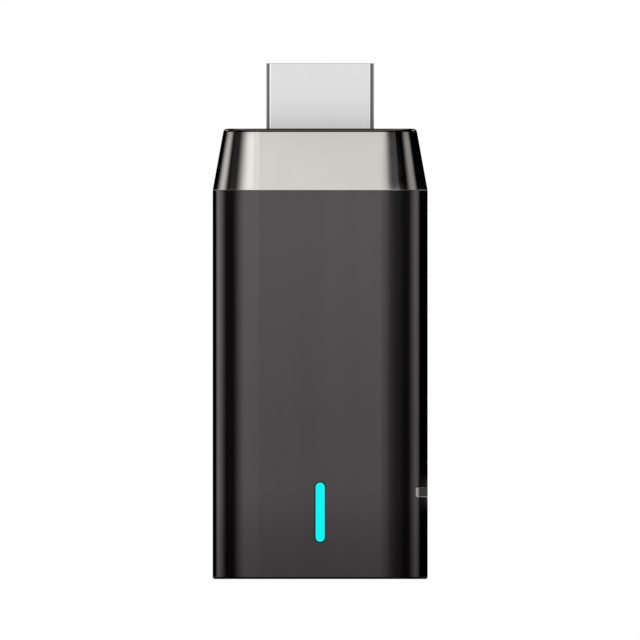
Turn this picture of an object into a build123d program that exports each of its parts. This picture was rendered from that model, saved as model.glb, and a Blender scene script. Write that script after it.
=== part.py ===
from math import atan2, degrees, hypot, radians, tan
import os

from build123d import *

os.makedirs("parts", exist_ok=True)

# Frame: the origin is the middle of the bottom end, X is the width with the key at +X,
# Y is the depth with the lit front at -Y, and Z is up towards the plug. Sizes are in mm.

# Outside of the body and the shoulder
body_width = 27.72
body_depth = 13.0
side_flat = 1.0
seam_height = 50.12
shoulder_height = 7.97
shoulder_inset = 1.45
foot_round = 0.26
cap_round = 0.58
seam_round = 0.04
wall = 1.2
cap_top_wall = 1.0
body_corner = (body_depth - side_flat) / 2
shoulder_top = seam_height + shoulder_height
shoulder_taper = degrees(atan2(shoulder_inset, shoulder_height))
cavity_width = body_width - 2 * wall
cavity_depth = body_depth - 2 * wall
cavity_corner = body_corner - wall
inner_front = -cavity_depth / 2
inner_back = cavity_depth / 2

# Snap hooks that hold the cap and the bottom cover in pockets of the sleeve
hook_from_bend = 0.83
hook_width = 2.0
hook_depth = 0.3
hook_height = 0.8
hook_from_end = 1.2
hook_spacing = cavity_width - 2 * (cavity_corner + hook_from_bend) - hook_width

# Skirt of the cap, inside the sleeve's top end
skirt_depth = 3.0
skirt_wall = 0.8
skirt_rise = 1.5

# Video plug, a full-size type A shell, wide side to the front
plug_width = 13.9
plug_depth = 4.45
plug_length = 8.38
plug_bend = 0.6
plug_sheet = 0.3
plug_slant_width = 1.35
plug_slant_depth = 1.35
plug_tip_round = 0.05
plug_fit = 0.06
plug_tail = 0.6
tip_height = shoulder_top + plug_length

# Plug insulator and contacts
mouth_recess = 0.8
plug_slot_width = 11.6
plug_slot_height = 1.9
plug_slot_depth = 6.5
plug_front_contacts = 10
plug_back_contacts = 9
contact_pitch = 1.0
contact_width = 0.4
contact_sheet = 0.2
contact_setback = 0.6
solder_length = 2.2
jog_height = 0.2

# Wings and legs of the plug shell
wing_reach = 1.4
wing_width = 2.4
leg_depth = 0.8
leg_length = 3.2

# Bracket that grips the plug inside the cap
bracket_height = 5.0
pocket_width = 2.0
pocket_depth = 3.6
pocket_height = 3.8
pocket_wall = 0.9

# Main board, upright in the middle of the depth
board_side_gap = 1.83
board_thickness = 1.0
board_bottom = 2.0
board_top_drop = 0.4
chassis_top = seam_height - skirt_depth
board_width = cavity_width - 2 * board_side_gap
board_top = chassis_top - board_top_drop
board_front = -board_thickness / 2
board_back = board_thickness / 2
board_edge = board_width / 2

# Inner chassis: two side rails and a back wall
chassis_bottom = 14.5
rail_grip = 1.0
chassis_wall = 1.0
vent_side = 3.8
vent_base = 10.0
vent_head = 3.7
vent_bar = 5.0
rail_inner = board_edge - rail_grip
vent_width = 2 * (rail_inner - vent_side)
vent_height = (chassis_top - vent_head - chassis_bottom - vent_base - vent_bar) / 2
vent_spacing = vent_height + vent_bar
vent_level = (chassis_top - vent_head + chassis_bottom + vent_base) / 2
ledge_width = 12.0
ledge_depth = 0.6
ledge_height = 1.0

# Screws through the board into bosses on the chassis
screw_from_edge = 2.5
screw_from_end = 3.0
screw_radius = 0.7
screw_length = 3.4
screw_head_radius = 1.25
screw_head_height = 0.7
screw_hole_radius = 0.85
screw_drive_width = 0.3
screw_drive_length = 1.5
screw_drive_depth = 0.35
boss_radius = 1.6
screw_spacing = board_width - 2 * screw_from_edge
screw_level = chassis_bottom + screw_from_end

# Main processor, memory and what carries their heat away
soc_size = 12.0
soc_height = 1.2
soc_from_top = 9.8
memory_width = 11.0
memory_length = 8.0
memory_height = 1.0
memory_below_soc = 11.7
pad_margin = 0.5
soc_pad_thickness = 1.2
spreader_over_rail = 1.3
spreader_over_soc = 2.5
spreader_under_memory = 1.8
spreader_thickness = 0.8
spreader_corner = 1.0
spreader_back = board_front - soc_height - soc_pad_thickness
spreader_front = spreader_back - spreader_thickness
soc_level = board_top - soc_from_top
memory_level = soc_level - memory_below_soc
spreader_top = soc_level + soc_size / 2 + spreader_over_soc
spreader_bottom = memory_level - memory_length / 2 - spreader_under_memory
spreader_length = spreader_top - spreader_bottom
spreader_width = 2 * (rail_inner + spreader_over_rail)
spreader_level = (spreader_top + spreader_bottom) / 2
stake_radius = 0.45
stake_head_radius = 0.62
stake_head_height = 0.3
stake_in_rail = 0.5
stake_from_end = 2.5
stake_spacing_x = 2 * (rail_inner + stake_in_rail)
stake_spacing_z = spreader_length - 2 * stake_from_end
foam_width = 12.0
foam_from_end = 5.0
foam_length = spreader_length - 2 * foam_from_end

# Chips on the back of the board
flash_width = 13.0
flash_length = 11.5
flash_height = 1.0
flash_from_top = 9.0
flash_level = board_top - flash_from_top
radio_size = 6.0
radio_height = 0.9
can_width = 10.0
can_length = 10.0
can_height = 1.6
can_sheet = 0.2
can_above_screws = 4.0
can_level = screw_level + can_above_screws
power_chip_size = 4.0
power_chip_height = 0.9
power_chip_offset = -3.2
power_level = 12.3
coil_width = 2.4
coil_length = 2.4
coil_height = 1.2
coil_count = 3
coil_pitch = 3.1
coil_first = 1.4

# Small parts on the board
crystal_width = 3.2
crystal_length = 2.5
crystal_height = 0.7
crystal_above_shroud = 0.75
capacitor_width = 0.8
capacitor_length = 1.6
capacitor_height = 0.8
capacitor_from_edge = 2.8
capacitor_pitch = 3.0
capacitor_count = 6
capacitor_over_soc = 1.5
capacitor_column = board_edge - capacitor_from_edge
capacitor_last = soc_level + soc_size / 2 - capacitor_over_soc
resistor_width = 1.0
resistor_length = 0.5
resistor_height = 0.35
resistor_from_edge = 2.2
resistor_pitch = 2.0
resistor_count = 7
resistor_column = board_edge - resistor_from_edge
resistor_first = flash_level - (resistor_count - 1) / 2 * resistor_pitch
antenna_width = 2.0
antenna_length = 5.0
antenna_height = 1.2
antenna_from_edge = 2.4
antenna_level = 5.4
antenna_column = board_edge - antenna_from_edge

# Power socket in the bottom end
usb_width = 8.94
usb_depth = 3.2
usb_sheet = 0.25
usb_mouth = 0.3
usb_length = 7.7
usb_rear = usb_mouth + usb_length
usb_cover_gap = 0.15
usb_notch_gap = 0.1
usb_base_length = 1.6
tongue_width = 6.7
tongue_thickness = 0.7
tongue_setback = 1.1
usb_contact_count = 12
usb_contact_pitch = 0.5
usb_contact_width = 0.25
usb_contact_sheet = 0.1
usb_contact_setback = 0.5
usb_jog_height = 0.12
usb_tail_length = 1.3
usb_wing_reach = 1.7
usb_wing_height = 1.2
usb_wing_levels = (3.8, 6.6)

# Bottom cover
cover_thickness = 1.4
cover_edge = 0.15
cover_stop_width = 5.0
cover_stop_height = 0.8
clip_arm_depth = 0.8
clip_arm_length = 3.2
board_stop_width = 3.0
board_stop_depth = 2.4
board_stop_spacing = 15.0

# Lit bar on the front
light_width = 1.19
light_length = 7.64
light_level = 8.62
light_gap = 0.15
light_flange_width = 3.4
light_flange_length = 9.2
light_flange_thickness = 0.8
light_flange_corner = 0.8
stem_width = 1.6
stem_length = 1.8
led_width = 1.6
led_length = 0.8
led_height = 0.7
led_level = 10.9
shroud_width = 3.2
shroud_length = 2.6
crystal_level = led_level + (shroud_length + crystal_length) / 2 + crystal_above_shroud

# Mode key in the right side
key_length = 9.14
key_height = 1.26
key_level = 11.2
key_gap = 0.13
key_round = 0.05
key_end_gap = 0.07
key_end_round = 0.3
key_travel = 0.25
key_flange_length = 9.8
key_flange_height = 2.66
key_flange_thickness = 0.8
key_flange_gap = 0.1
key_flange_root = 0.5
key_rib_width = 1.0
key_rib_height = 1.0
key_rib_root = 0.4

# Guide ribs above and below the key, which run in grooves in it and close the gap to light
guide_width = 0.3
guide_reach = 0.06
guide_gap = 0.05
guide_setback = 0.03
guide_lead = 0.07
guide_root = 0.3

# Tactile switch behind the key, on the front of the board
switch_reach = 3.4
switch_length = 4.7
switch_height = 1.6
switch_cover_sheet = 0.15
switch_chamber_width = 1.2
switch_chamber_length = 2.4
switch_lip = 0.9
plunger_width = 0.9
plunger_length = 1.4
plunger_gap = 0.05
plunger_out = 0.55
plunger_head_width = 1.0
plunger_head_length = 1.9
plunger_head_depth = 0.25
dome_rise = 0.3
dome_sheet = 0.06
dome_width = 1.1
dome_length = 2.0
dome_gap = 0.05
switch_middle = board_front - switch_height / 2
switch_face = board_edge
chamber_outer = switch_face - switch_lip
plunger_tip = switch_face + plunger_out
plunger_head_inner = chamber_outer - plunger_gap - plunger_head_depth
dome_top = plunger_head_inner - key_travel - dome_gap
chamber_inner = dome_top - dome_rise


def block(x_low, x_high, y_low, y_high, z_low, z_high, mode=Mode.ADD):
    """Box between the given faces."""
    with Locations(((x_low + x_high) / 2, (y_low + y_high) / 2, (z_low + z_high) / 2)):
        Box(x_high - x_low, y_high - y_low, z_high - z_low, mode=mode)


def front_part(x, z, width, length, height):
    """Box that stands on the front of the board, around the point x, z."""
    block(
        x - width / 2, x + width / 2, board_front - height, board_front, z - length / 2, z + length / 2
    )


def back_part(x, z, width, length, height):
    """Box that stands on the back of the board, around the point x, z."""
    block(
        x - width / 2, x + width / 2, board_back, board_back + height, z - length / 2, z + length / 2
    )


def hooks(z_low, mode=Mode.ADD):
    """Four snap hooks, or their pockets, in the front and back walls of the sleeve."""
    for side in (-1, 1):
        for place in (-hook_spacing / 2, hook_spacing / 2):
            y_in = side * inner_back
            y_out = side * (inner_back + hook_depth)
            block(
                place - hook_width / 2,
                place + hook_width / 2,
                min(y_in, y_out),
                max(y_in, y_out),
                z_low,
                z_low + hook_height,
                mode,
            )


def finish(piece, label):
    """Labels a piece and writes it out."""
    piece.part.label = label
    export_step(piece.part, f"parts/{label}.step")


def on_skin(point):
    """True for a point on the body's rounded outline."""
    across = max(abs(point.X) - (body_width / 2 - body_corner), 0)
    along = max(abs(point.Y) - side_flat / 2, 0)
    return abs(hypot(across, along) - body_corner) < 1e-4


cap_hook_low = seam_height - skirt_depth + hook_from_end
cover_hook_low = cover_thickness + clip_arm_length - hook_height
top_inset = tan(radians(shoulder_taper))
half_plug_width = plug_width / 2
half_plug_depth = plug_depth / 2
plug_corners = (
    (-half_plug_width, -half_plug_depth),
    (half_plug_width, -half_plug_depth),
    (half_plug_width, half_plug_depth - plug_slant_depth),
    (half_plug_width - plug_slant_width, half_plug_depth),
    (-half_plug_width + plug_slant_width, half_plug_depth),
    (-half_plug_width, half_plug_depth - plug_slant_depth),
)


# Body sleeve, a tube with windows for the lit bar and the key
with BuildPart() as body_sleeve:
    with BuildSketch(Plane.XY):
        RectangleRounded(body_width, body_depth, body_corner)
    extrude(amount=seam_height)
    fillet(body_sleeve.edges().group_by(Axis.Z)[0], foot_round)
    fillet(body_sleeve.edges().group_by(Axis.Z)[-1], seam_round)
    with BuildSketch(Plane.XY):
        RectangleRounded(cavity_width, cavity_depth, cavity_corner)
    extrude(amount=seam_height, mode=Mode.SUBTRACT)
    # Ledges that stop the chassis and the bottom cover
    for side in (-1, 1):
        y_wall = side * inner_back
        y_edge = side * (inner_back - ledge_depth)
        y_low, y_high = min(y_wall, y_edge), max(y_wall, y_edge)
        block(
            -ledge_width / 2,
            ledge_width / 2,
            y_low,
            y_high,
            chassis_bottom - ledge_height,
            chassis_bottom,
        )
        block(
            -cover_stop_width / 2,
            cover_stop_width / 2,
            y_low,
            y_high,
            cover_thickness,
            cover_thickness + cover_stop_height,
        )
    hooks(cap_hook_low, Mode.SUBTRACT)
    hooks(cover_hook_low, Mode.SUBTRACT)
    with BuildSketch(Plane.XZ.offset(body_depth / 2)):
        with Locations((0, light_level)):
            SlotOverall(light_length + 2 * light_gap, light_width + 2 * light_gap, rotation=90)
    extrude(amount=-wall, mode=Mode.SUBTRACT)
    with BuildSketch(Plane.YZ.offset(body_width / 2)):
        with Locations((0, key_level)):
            Rectangle(key_length + 2 * key_end_gap, key_height + 2 * key_gap)
    extrude(amount=-body_corner, mode=Mode.SUBTRACT)
    for side in (-1, 1):
        inner_end = key_level + side * (key_height / 2 - guide_reach)
        outer_end = key_level + side * (key_height / 2 + key_gap + guide_root)
        block(
            cavity_width / 2 - guide_lead,
            body_width / 2 - guide_setback,
            -guide_width / 2,
            guide_width / 2,
            min(inner_end, outer_end),
            max(inner_end, outer_end),
        )
finish(body_sleeve, "body_sleeve")

# Shoulder cap, a hollow taper with a skirt that plugs into the sleeve
with BuildPart() as shoulder_cap:
    with BuildSketch(Plane.XY.offset(seam_height)):
        RectangleRounded(body_width, body_depth, body_corner)
    extrude(amount=shoulder_height, taper=shoulder_taper)
    fillet(shoulder_cap.edges().group_by(Axis.Z)[-1], cap_round)
    fillet(shoulder_cap.edges().group_by(Axis.Z)[0], seam_round)
    with BuildSketch(Plane.XY.offset(seam_height)):
        RectangleRounded(cavity_width, cavity_depth, cavity_corner)
    extrude(amount=shoulder_height - cap_top_wall, taper=shoulder_taper, mode=Mode.SUBTRACT)
    with BuildSketch(Plane.XY.offset(seam_height - skirt_depth)):
        RectangleRounded(cavity_width, cavity_depth, cavity_corner)
        RectangleRounded(
            cavity_width - 2 * skirt_wall,
            cavity_depth - 2 * skirt_wall,
            cavity_corner - skirt_wall,
            mode=Mode.SUBTRACT,
        )
    extrude(amount=skirt_depth + skirt_rise)
    hooks(cap_hook_low)
    with BuildSketch(Plane.XY.offset(shoulder_top)) as opening:
        Polygon(*plug_corners)
        fillet(opening.vertices(), plug_bend)
        offset(amount=plug_fit)
    extrude(amount=-cap_top_wall, mode=Mode.SUBTRACT)
finish(shoulder_cap, "shoulder_cap")

# Plug bracket, filling the cap's taper round the plug
bracket_top = shoulder_top - cap_top_wall
bracket_bottom = bracket_top - bracket_height
bracket_inset = (bracket_bottom - seam_height) * top_inset
with BuildPart() as plug_bracket:
    with BuildSketch(Plane.XY.offset(bracket_bottom)):
        RectangleRounded(
            cavity_width - 2 * bracket_inset,
            cavity_depth - 2 * bracket_inset,
            cavity_corner - bracket_inset,
        )
    extrude(amount=bracket_height, taper=shoulder_taper)
    with BuildSketch(Plane.XY.offset(bracket_bottom)) as grip:
        Polygon(*plug_corners)
        fillet(grip.vertices(), plug_bend)
    extrude(amount=bracket_height, mode=Mode.SUBTRACT)
    for side in (-1, 1):
        near = side * (half_plug_width + pocket_wall)
        far = side * (half_plug_width + pocket_wall + pocket_width)
        block(
            min(near, far),
            max(near, far),
            -pocket_depth / 2,
            pocket_depth / 2,
            bracket_bottom,
            bracket_bottom + pocket_height,
            Mode.SUBTRACT,
        )
finish(plug_bracket, "plug_bracket")

# Plug shell, folded sheet with wings under the bracket and legs on the board
with BuildPart() as hdmi_plug_shell:
    with BuildSketch(Plane.XY.offset(board_top + plug_tail)) as outline:
        Polygon(*plug_corners)
        fillet(outline.vertices(), plug_bend)
    extrude(amount=tip_height - board_top - plug_tail)
    fillet(hdmi_plug_shell.edges().group_by(Axis.Z)[-1], plug_tip_round)
    for side in (-1, 1):
        near = side * (half_plug_width - plug_sheet)
        far = side * (half_plug_width + wing_reach)
        block(
            min(near, far),
            max(near, far),
            -wing_width / 2,
            wing_width / 2,
            bracket_bottom - plug_sheet,
            bracket_bottom,
        )
    with BuildSketch(Plane.XY.offset(board_top + plug_tail)) as bore:
        Polygon(*plug_corners)
        fillet(bore.vertices(), plug_bend)
        offset(amount=-plug_sheet)
    extrude(amount=tip_height - board_top - plug_tail, mode=Mode.SUBTRACT)
    for side in (-1, 1):
        outer = side * half_plug_width
        inner = side * (half_plug_width - plug_sheet)
        for y_low in (board_back, board_front - leg_depth):
            block(
                min(inner, outer),
                max(inner, outer),
                y_low,
                y_low + leg_depth,
                board_top + plug_tail - leg_length,
                board_top + plug_tail,
            )
finish(hdmi_plug_shell, "hdmi_plug_shell")


def plug_contact_row(side, count, mode=Mode.ADD):
    """One row of plug contacts: flat in the slot, stepped down onto the board behind it."""
    slot_wall = plug_slot_height / 2
    slot_top = tip_height - mouth_recess - contact_setback
    step_low = board_top - plug_tail
    profile = (
        (side * board_back, board_top - solder_length),
        (side * (board_back + contact_sheet), board_top - solder_length),
        (side * (board_back + contact_sheet), step_low),
        (side * slot_wall, step_low),
        (side * slot_wall, slot_top),
        (side * (slot_wall - contact_sheet), slot_top),
        (side * (slot_wall - contact_sheet), step_low + jog_height),
        (side * board_back, step_low + jog_height),
    )
    for number in range(count):
        place = (number - (count - 1) / 2) * contact_pitch
        with BuildSketch(Plane.YZ.offset(place)) as strip:
            Polygon(*profile)
        extrude(strip.sketch, amount=contact_width / 2, both=True, mode=mode)


# Plug contacts, one row on each side of the slot
with BuildPart() as hdmi_plug_contacts:
    plug_contact_row(-1, plug_front_contacts)
    plug_contact_row(1, plug_back_contacts)
finish(hdmi_plug_contacts, "hdmi_plug_contacts")

# Plug insulator, filling the shell and open in front as a slot
with BuildPart() as hdmi_plug_insulator:
    with BuildSketch(Plane.XY.offset(board_top)) as filling:
        Polygon(*plug_corners)
        fillet(filling.vertices(), plug_bend)
        offset(amount=-plug_sheet)
    extrude(amount=tip_height - mouth_recess - board_top)
    block(
        -plug_slot_width / 2,
        plug_slot_width / 2,
        -plug_slot_height / 2,
        plug_slot_height / 2,
        tip_height - mouth_recess - plug_slot_depth,
        tip_height - mouth_recess,
        Mode.SUBTRACT,
    )
    plug_contact_row(-1, plug_front_contacts, Mode.SUBTRACT)
    plug_contact_row(1, plug_back_contacts, Mode.SUBTRACT)
finish(hdmi_plug_insulator, "hdmi_plug_insulator")

# Main board, notched at the bottom for the sunk power socket
usb_notch_top = usb_rear + usb_notch_gap + usb_jog_height
with BuildPart() as main_board:
    block(-board_edge, board_edge, board_front, board_back, board_bottom, board_top)
    block(
        -usb_width / 2 - usb_notch_gap,
        usb_width / 2 + usb_notch_gap,
        board_front,
        board_back,
        board_bottom,
        usb_notch_top,
        Mode.SUBTRACT,
    )
    with BuildSketch(Plane.XZ.offset(-board_back)):
        with Locations((-screw_spacing / 2, screw_level), (screw_spacing / 2, screw_level)):
            Circle(screw_hole_radius)
    extrude(amount=board_thickness, mode=Mode.SUBTRACT)
finish(main_board, "main_board")

# Inner chassis, two rails that hold the board's edges and a back wall with bosses
chassis_wall_front = inner_back - chassis_wall
with BuildPart() as inner_chassis:
    with BuildSketch(Plane.XY.offset(chassis_bottom)):
        RectangleRounded(cavity_width, cavity_depth, cavity_corner)
    extrude(amount=chassis_top - chassis_bottom)
    block(
        -rail_inner,
        rail_inner,
        inner_front,
        chassis_wall_front,
        chassis_bottom,
        chassis_top,
        Mode.SUBTRACT,
    )
    block(
        -cavity_width / 2,
        cavity_width / 2,
        inner_front,
        spreader_back,
        chassis_bottom,
        chassis_top,
        Mode.SUBTRACT,
    )
    block(
        -board_edge,
        board_edge,
        board_front,
        board_back,
        chassis_bottom,
        chassis_top,
        Mode.SUBTRACT,
    )
    with BuildSketch(Plane.XZ.offset(-inner_back)):
        with Locations((0, vent_level)):
            with GridLocations(0, vent_spacing, 1, 2):
                Rectangle(vent_width, vent_height)
    extrude(amount=chassis_wall, mode=Mode.SUBTRACT)
    with BuildSketch(Plane.XZ.offset(-board_back)):
        with Locations((-screw_spacing / 2, screw_level), (screw_spacing / 2, screw_level)):
            Circle(boss_radius)
    extrude(amount=board_back - chassis_wall_front)
    with BuildSketch(Plane.XZ.offset(-board_back)):
        with Locations((-screw_spacing / 2, screw_level), (screw_spacing / 2, screw_level)):
            Circle(screw_radius)
    extrude(amount=board_thickness - screw_length, mode=Mode.SUBTRACT)
    # Stakes that pass through the heat spreader, with melted heads on its front
    with BuildSketch(Plane.XZ.offset(-spreader_back)):
        with Locations((0, spreader_level)):
            with GridLocations(stake_spacing_x, stake_spacing_z, 2, 2):
                Circle(stake_radius)
    extrude(amount=spreader_thickness)
    with BuildSketch(Plane.XZ.offset(-spreader_front)):
        with Locations((0, spreader_level)):
            with GridLocations(stake_spacing_x, stake_spacing_z, 2, 2):
                Circle(stake_head_radius)
    extrude(amount=stake_head_height)
finish(inner_chassis, "inner_chassis")

# Board screws, with a cross drive in the head
for label, place in (
    ("board_screw_left", -screw_spacing / 2),
    ("board_screw_right", screw_spacing / 2),
):
    with BuildPart() as board_screw:
        with BuildSketch(Plane.XZ.offset(-board_front)):
            with Locations((place, screw_level)):
                Circle(screw_head_radius)
        extrude(amount=screw_head_height)
        with BuildSketch(Plane.XZ.offset(-board_front)):
            with Locations((place, screw_level)):
                Circle(screw_radius)
        extrude(amount=-screw_length)
        with BuildSketch(Plane.XZ.offset(screw_head_height - board_front)):
            with Locations((place, screw_level)):
                Rectangle(screw_drive_length, screw_drive_width)
                Rectangle(screw_drive_width, screw_drive_length)
        extrude(amount=-screw_drive_depth, mode=Mode.SUBTRACT)
    finish(board_screw, label)

# Main processor and memory, with the pads that carry heat to the spreader
with BuildPart() as soc_chip:
    front_part(0, soc_level, soc_size, soc_size, soc_height)
finish(soc_chip, "soc_chip")

with BuildPart() as soc_thermal_pad:
    block(
        -soc_size / 2 + pad_margin,
        soc_size / 2 - pad_margin,
        spreader_back,
        board_front - soc_height,
        soc_level - soc_size / 2 + pad_margin,
        soc_level + soc_size / 2 - pad_margin,
    )
finish(soc_thermal_pad, "soc_thermal_pad")

with BuildPart() as memory_chip:
    front_part(0, memory_level, memory_width, memory_length, memory_height)
finish(memory_chip, "memory_chip")

with BuildPart() as memory_thermal_pad:
    block(
        -memory_width / 2 + pad_margin,
        memory_width / 2 - pad_margin,
        spreader_back,
        board_front - memory_height,
        memory_level - memory_length / 2 + pad_margin,
        memory_level + memory_length / 2 - pad_margin,
    )
finish(memory_thermal_pad, "memory_thermal_pad")

# Heat spreader, a plate staked to the front of the rails
with BuildPart() as heat_spreader:
    with BuildSketch(Plane.XZ.offset(-spreader_back)):
        with Locations((0, spreader_level)):
            RectangleRounded(spreader_width, spreader_length, spreader_corner)
            with GridLocations(stake_spacing_x, stake_spacing_z, 2, 2):
                Circle(stake_radius, mode=Mode.SUBTRACT)
    extrude(amount=spreader_thickness)
finish(heat_spreader, "heat_spreader")

# Foam pad between the spreader and the sleeve's front wall
with BuildPart() as foam_pad:
    block(
        -foam_width / 2,
        foam_width / 2,
        inner_front,
        spreader_front,
        spreader_level - foam_length / 2,
        spreader_level + foam_length / 2,
    )
finish(foam_pad, "foam_pad")

# Chips on the back of the board
with BuildPart() as flash_chip:
    back_part(0, flash_level, flash_width, flash_length, flash_height)
finish(flash_chip, "flash_chip")

with BuildPart() as radio_chip:
    back_part(0, can_level, radio_size, radio_size, radio_height)
finish(radio_chip, "radio_chip")

with BuildPart() as radio_shield_can:
    back_part(0, can_level, can_width, can_length, can_height)
    block(
        -can_width / 2 + can_sheet,
        can_width / 2 - can_sheet,
        board_back,
        board_back + can_height - can_sheet,
        can_level - can_length / 2 + can_sheet,
        can_level + can_length / 2 - can_sheet,
        Mode.SUBTRACT,
    )
finish(radio_shield_can, "radio_shield_can")

with BuildPart() as power_chip:
    back_part(power_chip_offset, power_level, power_chip_size, power_chip_size, power_chip_height)
finish(power_chip, "power_chip")

with BuildPart() as power_inductors:
    for number in range(coil_count):
        place = coil_first + number * coil_pitch
        back_part(place, power_level, coil_width, coil_length, coil_height)
finish(power_inductors, "power_inductors")

# Small parts in columns beside the chips
with BuildPart() as crystal:
    front_part(0, crystal_level, crystal_width, crystal_length, crystal_height)
finish(crystal, "crystal")

with BuildPart() as ceramic_capacitors:
    for number in range(capacitor_count):
        level = capacitor_last - number * capacitor_pitch
        for side in (-1, 1):
            front_part(
                side * capacitor_column, level, capacitor_width, capacitor_length, capacitor_height
            )
finish(ceramic_capacitors, "ceramic_capacitors")

with BuildPart() as chip_resistors:
    for number in range(resistor_count):
        level = resistor_first + number * resistor_pitch
        for side in (-1, 1):
            back_part(
                side * resistor_column, level, resistor_width, resistor_length, resistor_height
            )
finish(chip_resistors, "chip_resistors")

with BuildPart() as main_antenna:
    front_part(-antenna_column, antenna_level, antenna_width, antenna_length, antenna_height)
finish(main_antenna, "main_antenna")

with BuildPart() as second_antenna:
    front_part(antenna_column, antenna_level, antenna_width, antenna_length, antenna_height)
finish(second_antenna, "second_antenna")

# Power socket shell, a flat round-ended tube with wings soldered to the board
with BuildPart() as usb_socket_shell:
    with BuildSketch(Plane.XY.offset(usb_mouth)):
        SlotOverall(usb_width, usb_depth)
    extrude(amount=usb_length)
    for side in (-1, 1):
        near = side * (usb_width / 2 - usb_sheet)
        far = side * (usb_width / 2 + usb_wing_reach)
        for level in usb_wing_levels:
            block(
                min(near, far),
                max(near, far),
                board_back,
                board_back + usb_sheet,
                level - usb_wing_height / 2,
                level + usb_wing_height / 2,
            )
    with BuildSketch(Plane.XY.offset(usb_mouth)):
        SlotOverall(usb_width - 2 * usb_sheet, usb_depth - 2 * usb_sheet)
    extrude(amount=usb_length, mode=Mode.SUBTRACT)
finish(usb_socket_shell, "usb_socket_shell")


def usb_contact_rows(mode=Mode.ADD):
    """Both rows of power socket contacts, flat on the tongue and stepped onto the board."""
    face = tongue_thickness / 2
    front = usb_mouth + tongue_setback + usb_contact_setback
    for side in (-1, 1):
        profile = (
            (side * face, front),
            (side * (face + usb_contact_sheet), front),
            (side * (face + usb_contact_sheet), usb_rear),
            (side * (board_back + usb_contact_sheet), usb_rear),
            (side * (board_back + usb_contact_sheet), usb_rear + usb_tail_length),
            (side * board_back, usb_rear + usb_tail_length),
            (side * board_back, usb_rear + usb_jog_height),
            (side * face, usb_rear + usb_jog_height),
        )
        for number in range(usb_contact_count):
            place = (number - (usb_contact_count - 1) / 2) * usb_contact_pitch
            with BuildSketch(Plane.YZ.offset(place)) as strip:
                Polygon(*profile)
            extrude(strip.sketch, amount=usb_contact_width / 2, both=True, mode=mode)


with BuildPart() as usb_socket_contacts:
    usb_contact_rows()
finish(usb_socket_contacts, "usb_socket_contacts")

# Power socket tongue and the base that fills the shell behind it
with BuildPart() as usb_socket_tongue:
    with BuildSketch(Plane.XY.offset(usb_rear - usb_base_length)):
        SlotOverall(usb_width - 2 * usb_sheet, usb_depth - 2 * usb_sheet)
    extrude(amount=usb_base_length)
    block(
        -tongue_width / 2,
        tongue_width / 2,
        -tongue_thickness / 2,
        tongue_thickness / 2,
        usb_mouth + tongue_setback,
        usb_rear - usb_base_length,
    )
    usb_contact_rows(Mode.SUBTRACT)
finish(usb_socket_tongue, "usb_socket_tongue")

# Bottom cover, flush in the sleeve's end, with clip arms and stops under the board
with BuildPart() as bottom_cover:
    with BuildSketch(Plane.XY):
        RectangleRounded(cavity_width, cavity_depth, cavity_corner)
    extrude(amount=cover_thickness)
    chamfer(bottom_cover.edges().group_by(Axis.Z)[0], cover_edge)
    with BuildSketch(Plane.XY):
        SlotOverall(usb_width + 2 * usb_cover_gap, usb_depth + 2 * usb_cover_gap)
    extrude(amount=cover_thickness, mode=Mode.SUBTRACT)
    for side in (-1, 1):
        y_wall = side * inner_back
        y_edge = side * (inner_back - clip_arm_depth)
        for place in (-hook_spacing / 2, hook_spacing / 2):
            block(
                place - hook_width / 2,
                place + hook_width / 2,
                min(y_wall, y_edge),
                max(y_wall, y_edge),
                cover_thickness,
                cover_thickness + clip_arm_length,
            )
        middle = side * board_stop_spacing / 2
        block(
            middle - board_stop_width / 2,
            middle + board_stop_width / 2,
            -board_stop_depth / 2,
            board_stop_depth / 2,
            cover_thickness,
            board_bottom,
        )
    hooks(cover_hook_low)
finish(bottom_cover, "bottom_cover")

# Light guide: the bar in the window, a flange behind the wall and a stem to the LED
led_face = board_front - led_height
flange_back = inner_front + light_flange_thickness
with BuildPart() as light_guide:
    with BuildSketch(Plane.XZ.offset(body_depth / 2)):
        with Locations((0, light_level)):
            SlotOverall(light_length, light_width, rotation=90)
    extrude(amount=-wall)
    with BuildSketch(Plane.XZ.offset(-inner_front)):
        with Locations((0, light_level)):
            RectangleRounded(light_flange_width, light_flange_length, light_flange_corner)
    extrude(amount=-light_flange_thickness)
    block(
        -stem_width / 2,
        stem_width / 2,
        flange_back,
        led_face,
        led_level - stem_length / 2,
        led_level + stem_length / 2,
    )
finish(light_guide, "light_guide")

# Light shroud, a soft sleeve round the stem that presses on the board
with BuildPart() as light_shroud:
    block(
        -shroud_width / 2,
        shroud_width / 2,
        flange_back,
        board_front,
        led_level - shroud_length / 2,
        led_level + shroud_length / 2,
    )
    block(
        -stem_width / 2,
        stem_width / 2,
        flange_back,
        board_front,
        led_level - stem_length / 2,
        led_level + stem_length / 2,
        Mode.SUBTRACT,
    )
finish(light_shroud, "light_shroud")

with BuildPart() as status_led:
    front_part(0, led_level, led_width, led_length, led_height)
finish(status_led, "status_led")

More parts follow.
